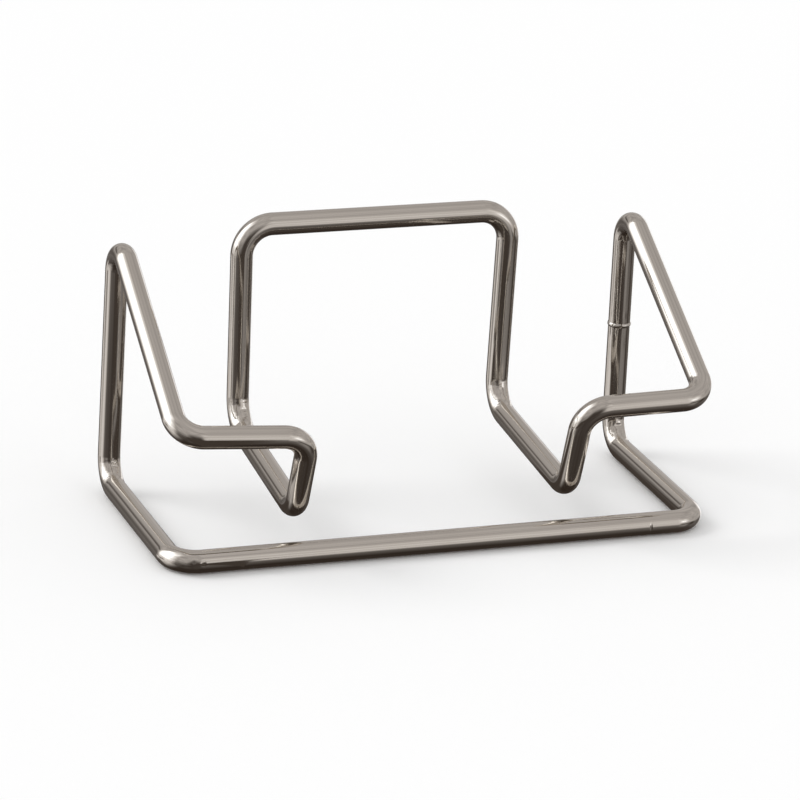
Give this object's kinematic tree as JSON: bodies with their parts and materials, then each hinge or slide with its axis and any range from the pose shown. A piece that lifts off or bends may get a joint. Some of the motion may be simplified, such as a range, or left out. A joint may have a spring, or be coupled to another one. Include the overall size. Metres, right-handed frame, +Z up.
{
  "type": "business card holder stand",
  "caption": "Free-standing bent-wire desk stand whose open pocket of ledges, prongs, floor rails and a back arch holds a stack of business cards upright.",
  "frame": {"origin": "on the desk under the wire, midway between the two sides and between the front bar and the back plane", "axes": "+X to the right along the front bar, +Y from the front to the back, +Z up from the desk"},
  "size_m": [0.1, 0.0443, 0.0497],
  "materials": {
    "plated_wire": "bright nickel plate on drawn steel wire, warm silver, polished with faint drawing lines",
    "plated_weld": "bright nickel plate over a small, slightly uneven weld bead"
  },
  "bodies": {
    "root": {"front_bar": "plated_wire", "left_base_rail": "plated_wire", "right_base_rail": "plated_wire", "left_upright": "plated_wire", "right_upright_lower": "plated_wire", "right_upright_upper": "plated_wire", "butt_weld": "plated_weld", "left_side_arm": "plated_wire", "right_side_arm": "plated_wire", "left_front_ledge": "plated_wire", "right_front_ledge": "plated_wire", "left_prong": "plated_wire", "right_prong": "plated_wire", "left_floor_rail": "plated_wire", "right_floor_rail": "plated_wire", "left_arch_post": "plated_wire", "right_arch_post": "plated_wire", "arch_top_bar": "plated_wire"}
  },
  "joints": []
}
